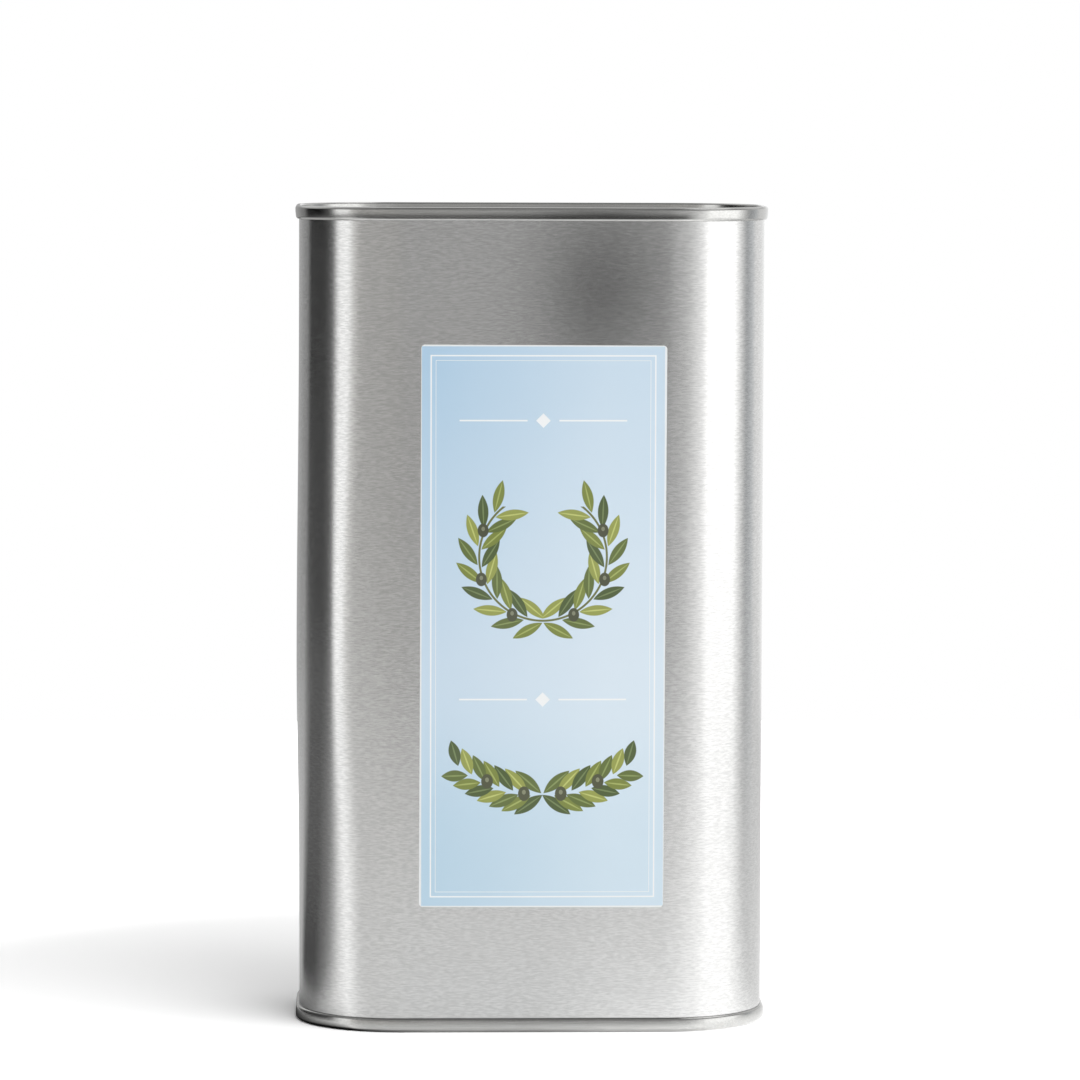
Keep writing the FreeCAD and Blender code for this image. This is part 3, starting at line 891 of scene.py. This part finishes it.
def spout_tube():
    """Tube with a thread below its mouth and a groove for the stop ring at its foot."""
    piece = turned("spout_tube_moulding", [
        (tube_bore, tube_foot_z), (tube_foot_radius, tube_foot_z), (tube_foot_radius, stop_groove_low_z),
        (stop_groove_radius, stop_groove_low_z), (stop_groove_radius, stop_groove_high_z),
        (tube_radius, stop_groove_high_z), (tube_radius, mouth_z), (mouth_lip_radius, mouth_z),
        (tube_bore, mouth_z - mouth_bevel)])
    rounded(piece, 0.12)
    join(piece, thread_ridge(tube_radius, crest=10.9, turns=1.5, bottom=176.95, start_turn=0.0))
    finish(piece, "spout", "spout_tube", spout_plastic)


def screw_cap():
    """Ribbed cap with nail notches, and lugs that carry the bails."""
    ribs_low, ribs_high = cap_bottom_z + rib_margin, cap_top_z - rib_margin
    piece = turned("screw_cap_moulding", [
        (axis_radius, cap_roof_z), (cap_bore, cap_roof_z), (cap_bore, cap_bottom_z),
        (cap_radius, cap_bottom_z), (cap_radius, ribs_low), (cap_radius, ribs_high),
        (cap_radius, cap_top_z - 0.5), (cap_radius - 0.07, cap_top_z - 0.25),
        (cap_radius - 0.25, cap_top_z - 0.07), (cap_radius - 0.5, cap_top_z),
        (axis_radius, cap_top_z)], rib_steps, False)

    def on_rib(face):
        middle = face.calc_center_median()
        if not ribs_low < middle.z < ribs_high or face.normal.to_2d().length < 0.9:
            return False
        if math.hypot(middle.x - spout_x, middle.y) < cap_radius - 0.5:
            return False
        turn = math.degrees(math.atan2(middle.y, middle.x - spout_x)) % 360
        return int(turn / 360 * rib_steps) % steps_per_rib < 2

    pick(piece, "FACE", on_rib)
    push(0, 0, 0)
    share = (cap_radius + rib_height) / cap_radius
    bpy.ops.transform.resize(value=(share, share, 1), center_override=(spout_x, 0, 0))
    close_edit()
    for side in (-1, 1):
        notch = block("notch", notch_size, (spout_x, side * notch_y, cap_top_z + notch_lift))
        round_edges(0.3, 3)
        close_edit()
        cut_away(piece, notch)
    for side in (-1, 1):
        x = spout_x + side * lug_x
        lug = block("lug", lug_size, (x, 0, lug_z))
        pick(lug, "EDGE", lambda e: all(v.co.z > lug_z for v in e.verts))
        round_edges(lug_round, 4)
        close_edit()
        for pivot in (-1, 1):
            drill = rod("drill", pivot_hole_radius, 4, (x, pivot * bail_spread, pivot_z))
            close_edit()
            cut_away(lug, drill)
        join(piece, lug)
    join(piece, thread_ridge(cap_bore, crest=10.25, turns=1.25, bottom=176.15, start_turn=0.2333))
    finish(piece, "cap", "screw_cap", cap_plastic, 30)


def cap_liner():
    """Foam disc between the cap and the mouth."""
    piece = turned("cap_liner_disc", [
        (axis_radius, liner_low_z), (liner_radius, liner_low_z), (liner_radius, liner_high_z),
        (axis_radius, liner_high_z)], closed=False)
    rounded(piece, 0.1, 2)
    finish(piece, "liner", "cap_liner", liner_foam)


def bail(name, side, body, node):
    """Half-round pull that lies on the cap, with a pin at each end."""
    deselect()
    half_width = bail_width / 2
    middle = bail_outer_radius - half_width
    bpy.ops.mesh.primitive_plane_add(size=1, rotation=(math.pi / 2, 0, 0), location=(middle, 0, 0))
    bpy.context.object.scale = (bail_width, bail_thickness, 1)
    piece = begin(name)
    select_all()
    # Spin turns clockwise about its axis
    bpy.ops.mesh.spin(steps=40, angle=math.pi, center=(0, 0, 0), axis=(0, 0, -side))
    select_all()
    bpy.ops.mesh.remove_doubles(threshold=0.001)
    face_outwards()
    rounded(piece, 0.3, 4, 60)
    pins = []
    for way in (-1, 1):
        for radius, start, end in ((bail_thickness / 2, middle - half_width, middle + half_width),
                                   (pin_radius, pin_start, pin_end)):
            pin = rod("pin", radius, end - start, (way * (start + end) / 2, 0, 0))
            pick(pin, "FACE", lambda f: abs(f.normal.x) > 0.9)
            round_edges(0.06, 2)
            close_edit()
            pins.append(pin)
    join(piece, *pins)
    piece.location = (spout_x, side * bail_spread, pivot_z)
    apply_place()
    finish(piece, body, node, cap_plastic)


body_shell()
top_end()
bottom_end()
front_label()
spout_well()
crimp_ring()
spout_tube()
screw_cap()
cap_liner()
bail("front_bail_pull", -1, "front_pull", "front_bail")
bail("rear_bail_pull", 1, "rear_pull", "rear_bail")

for node, material in (("top_seam_compound", seam_compound), ("bottom_seam_compound", seam_compound),
                       ("well_gasket", seal_rubber), ("wiper_ring", seal_rubber),
                       ("stop_ring", spout_plastic)):
    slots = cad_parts[node].data.materials
    slots.clear()
    slots.append(material)


# Studio, in metres

# How bright the room is in the metal, by the bearing from the front in degrees, to the right as positive
room_levels = (
    (-180, 0.47), (-150, 0.44), (-141, 0.38), (-131, 0.3), (-123, 0.02), (-97, 0.0), (-88, 0.08),
    (-82, 0.22), (-76, 1.2), (-71, 1.65), (-60, 1.6), (-54, 0.98), (-46, 0.67), (-18, 0.66), (-6, 0.65),
    (-2, 0.63), (0.6, 0.6), (2, 0.58), (4, 0.6), (6, 0.67), (10, 0.74), (16, 0.78), (25, 0.84),
    (36, 1.08), (44, 1.38), (50, 2.0), (86, 2.0), (93, 1.37), (100, 0.9), (108, 0.5), (121, 0.76),
    (129, 1.02))
room_strength = 2.0


def studio_floor():
    """Pale table top, which keeps the tin's shadow and is white to the eye elsewhere."""
    deselect()
    bpy.ops.mesh.primitive_plane_add(size=1, location=(0, 0.12, -0.0001))
    floor = bpy.context.object
    floor.name = "floor"
    floor.scale = (1.3, 1.0, 1)
    apply_place()
    pale = Finish("pale floor")
    parts = pale.split(pale.place)
    away = pale.add("ShaderNodeVectorMath", pale.place, operation="LENGTH").outputs["Value"]
    bearing = pale.bearing(parts)

    def turn(from_bearing, to_bearing, low, high):
        """Runs from one level to another between two bearings in degrees."""
        return pale.spread(bearing, low, high, math.radians(from_bearing), math.radians(to_bearing))

    def beyond(axis, corner):
        """How far a point lies past the tin's corner centres along an axis."""
        outside = pale.math("SUBTRACT", pale.math("ABSOLUTE", parts[axis]), corner * millimetre)
        return pale.math("MAXIMUM", outside, 0.0)

    # To the eye it is white where the light falls, and all white far away
    ray = pale.add("ShaderNodeLightPath").outputs
    direct = pale.product(ray["Is Camera Ray"], pale.spread(away, 0.0, 1.0, 0.16, 0.34))
    # Painted light: in the metal the floor glows brighter below the room's soft boxes
    front = pale.total(turn(-62, -48, 0.88, 0.27), turn(2, 50, 0.0, 0.62))
    sides = pale.product(pale.math("MINIMUM", turn(-85, -70, 0.0, 0.9), front), turn(70, 98, 1.0, 0.22))
    near = pale.product(turn(130, 170, 1.0, 0.0), pale.spread(away, 1.0, 0.4, 0.18, 0.45))
    # Painted shadow: close to the tin's foot the floor is dark in the metal at the left, and a little
    # darker in front
    past_x, past_y = beyond("X", corner_x), beyond("Y", corner_y)
    outside = pale.math("SQRT", pale.total(pale.product(past_x, past_x), pale.product(past_y, past_y)))
    foot = (corner_radius + seam_outside) * millimetre
    least = pale.math("MAXIMUM", pale.total(turn(-54, -36, 0.0, 0.65), turn(48, 56, 0.0, 0.35)),
                      turn(-125, -95, 1.0, 0.0))
    clear = pale.spread(outside, least, 1.0, foot, pale.total(turn(-62, -54, 0.03, 0.003), foot))
    mirrored = pale.product(ray["Is Glossy Ray"], sides, near, clear)
    painted_foot_shade = pale.product(ray["Is Glossy Ray"], pale.math("SUBTRACT", 1.0, clear))
    pale.set(Base_Color=pale.product(0.88, pale.math("SUBTRACT", 1.0, painted_foot_shade)),
             Roughness=0.9, Specular_IOR_Level=0.2)
    glow = pale.add("ShaderNodeEmission", grey(1.0), pale.math("MAXIMUM", direct, mirrored))
    to_eye = pale.add("ShaderNodeBsdfDiffuse", grey(1.45))
    matt = pale.choose(ray["Is Camera Ray"], pale.shader.outputs[0], to_eye.outputs[0])
    both = pale.add("ShaderNodeAddShader", matt, glow.outputs[0])
    pale.feed(pale.surface, both.outputs[0])
    floor.data.materials.append(pale.material)


def way_to(bearing, rise):
    """Direction from the tin: degrees to the right of the front, and above level."""
    aside, up = math.radians(bearing), math.radians(rise)
    return Vector((math.sin(aside) * math.cos(up), -math.cos(aside) * math.cos(up), math.sin(up)))


def room_tint(bearing):
    """Slight tint of the room: warm at the left of the front and cool at the right rear."""
    if -60 < bearing < 0:
        return 1, 0.985, 0.96
    if 100 < bearing < 125:
        return 0.97, 1, 1.03
    return 1, 1, 1


def studio_world():
    """White to the eye; to the tin's metal, a room with soft boxes and dark stretches between them."""
    world = bpy.data.worlds.new("studio")
    bpy.context.scene.world = world
    world.use_nodes = True
    world.node_tree.nodes.clear()
    studio = Graph(world.node_tree)
    way = studio.add("ShaderNodeTexCoord").outputs["Generated"]
    parts = studio.split(way)
    rise = parts["Z"]
    bearing = studio.bearing(parts)
    full_turn = studio.math("ADD", studio.math("DIVIDE", bearing, 2 * math.pi), 0.5)
    stops = []
    for degrees, level in room_levels:
        tone = [level / room_strength * tint for tint in room_tint(degrees)]
        stops.append((degrees / 360 + 0.5, (*tone, 1)))
    room = studio.ramp(full_turn, stops)

    # Dark low down, but for the right
    low = studio.math("MULTIPLY", studio.math("SUBTRACT", -0.13, rise), 12.0, clamp=True)
    left = studio.math("MULTIPLY", studio.math("SUBTRACT", 0.6, bearing), 4.0, clamp=True)
    room = studio.blend(studio.product(low, left), room, grey(0.06))
    # A dark ceiling, paler half way up and bright at the back, with a soft box high at the right
    high = studio.slope(rise, 0.16, 5.0)
    room = studio.blend(high, room, grey(0.08))
    half_way = studio.product(studio.slope(rise, 0.4, 5.0), studio.slope(rise, 0.9, -8.0))
    room = studio.blend(half_way, room, grey(0.25))
    rear = studio.total(studio.product(parts["Y"], 2.2), studio.product(rise, 0.2))
    rear = studio.math("SUBTRACT", rear, 0.15, clamp=True)
    room = studio.blend(studio.product(high, rear), room, grey(0.42))
    towards = studio.add("ShaderNodeVectorMath", way, way_to(90, 60), operation="DOT_PRODUCT")
    room = studio.blend(studio.slope(towards.outputs["Value"], 0.94, 40.0), room, grey(0.8))

    # Soft fill for the floor, the paper and the plastic, stronger from the right and from above
    fill = studio.total(studio.product(parts["X"], 0.32), studio.product(parts["Y"], -0.12),
                     studio.total(0.44, studio.product(rise, 0.12)))
    fill = studio.math("MAXIMUM", fill, 0.0)
    ray = studio.add("ShaderNodeLightPath").outputs
    mirrored = studio.add("ShaderNodeBackground", room, room_strength)
    diffuse = studio.add("ShaderNodeBackground", fill, 1.0)
    to_eye = studio.add("ShaderNodeBackground", grey(1.0), 1.0)
    seen = studio.choose(ray["Is Diffuse Ray"], mirrored.outputs[0], diffuse.outputs[0])
    studio.add("ShaderNodeOutputWorld", studio.choose(ray["Is Camera Ray"], seen, to_eye.outputs[0]))


def key_soft_box():
    """Square soft box in front, high and a little to the right; the metal sees the room instead."""
    deselect()
    place = way_to(36, 45) * 1.5
    bpy.ops.object.light_add(type="AREA", location=place)
    lamp = bpy.context.object
    lamp.name = "key soft box"
    lamp.data.shape = "SQUARE"
    lamp.data.size = 1.3
    lamp.data.energy = 11.5
    lamp.rotation_euler = (Vector((0, 0, 0.05)) - place).to_track_quat("-Z", "Y").to_euler()
    lamp.visible_glossy = False


def darken(card, shade, mask, dark):
    """Makes a card dark where the mask says and clear elsewhere, and hides it from all but the metal."""
    clear = shade.add("ShaderNodeBsdfTransparent")
    shade.feed(shade.surface, shade.choose(mask, clear.outputs[0], dark.outputs[0]))
    shade.nodes.remove(shade.shader)
    card.data.materials.append(shade.material)
    card.visible_camera = False
    card.visible_diffuse = False
    card.visible_shadow = False


def dark_flag():
    """Low dark card with soft edges close to the tin's left, which only its metal sees."""
    deselect()
    bpy.ops.mesh.primitive_plane_add(size=1, rotation=(math.pi / 2, 0, math.pi / 2),
                                     location=(-0.09, 0.005, 0.07))
    bpy.context.object.scale = (0.15, 0.14, 1)
    flag = begin("dark flag")
    close_edit()
    shade = Finish("dark card")
    place = shade.split(shade.place)
    # Its foot is softer in front and reaches further back, and it is palest between foot and top
    near_foot = shade.spread(place["Z"], 1.0, 0.0, 0.0, 0.1)
    foot = shade.product(near_foot, near_foot)
    front = shade.spread(place["Y"], 0.0, 1.0, shade.math("MULTIPLY_ADD", foot, -0.02, -0.04),
                         shade.math("MULTIPLY_ADD", foot, 0.02, -0.018))
    back = shade.spread(place["Y"], 1.0, 0.0, shade.math("MULTIPLY_ADD", foot, 0.041, -0.004),
                        shade.math("MULTIPLY_ADD", foot, 0.047, 0.018))
    top = shade.spread(place["Z"], 1.0, 0.0, 0.06, 0.13)
    between = shade.math("SUBTRACT", near_foot, foot)
    dark = shade.add("ShaderNodeEmission", grey(1.0), shade.math("MULTIPLY_ADD", between, 0.45, 0.045))
    darken(flag, shade, shade.product(front, back, top), dark)


def shade_card():
    """Soft dark spot in front of the tin's shoulder, which only its metal sees."""
    deselect()
    middle = Vector((0.0185, -0.091, 0.169))
    widths = (0.0165, 1.0, 0.022)
    depth = 0.74
    bpy.ops.mesh.primitive_plane_add(size=0.1, rotation=(math.pi / 2, 0, 0), location=middle)
    card = begin("shade card")
    close_edit()
    shade = Finish("soft shade")
    offset = shade.add("ShaderNodeVectorMath", shade.place, middle, operation="SUBTRACT").outputs[0]
    share = shade.add("ShaderNodeVectorMath", offset, widths, operation="DIVIDE").outputs[0]
    squared = shade.add("ShaderNodeVectorMath", share, share, operation="DOT_PRODUCT").outputs["Value"]
    mask = shade.product(shade.math("POWER", math.e, shade.product(squared, -1.0)), depth)
    dark = shade.add("ShaderNodeEmission", grey(0.03), 1.0)
    darken(card, shade, mask, dark)


def photo_camera():
    """Long lens from in front and a little above the rim."""
    deselect()
    bpy.ops.object.camera_add(location=(-0.0418, -1.3213, 0.2129))
    camera = bpy.context.object
    pitch, yaw, roll = 0.0775, 0.0334, 0.0031
    ahead = Vector((math.sin(yaw) * math.cos(pitch), math.cos(yaw) * math.cos(pitch), -math.sin(pitch)))
    right = ahead.cross(Vector((0, 0, 1))).normalized()
    up = right.cross(ahead)
    level_right = right * math.cos(roll) + up * math.sin(roll)
    level_up = up * math.cos(roll) - right * math.sin(roll)
    turn = Matrix((level_right, level_up, -ahead)).transposed()
    camera.rotation_euler = turn.to_euler()
    camera.data.sensor_width = 36
    camera.data.lens = 190.16
    camera.data.clip_end = 50
    bpy.context.scene.camera = camera


studio_floor()
studio_world()
key_soft_box()
dark_flag()
shade_card()
photo_camera()
bpy.context.scene.view_settings.view_transform = "Standard"
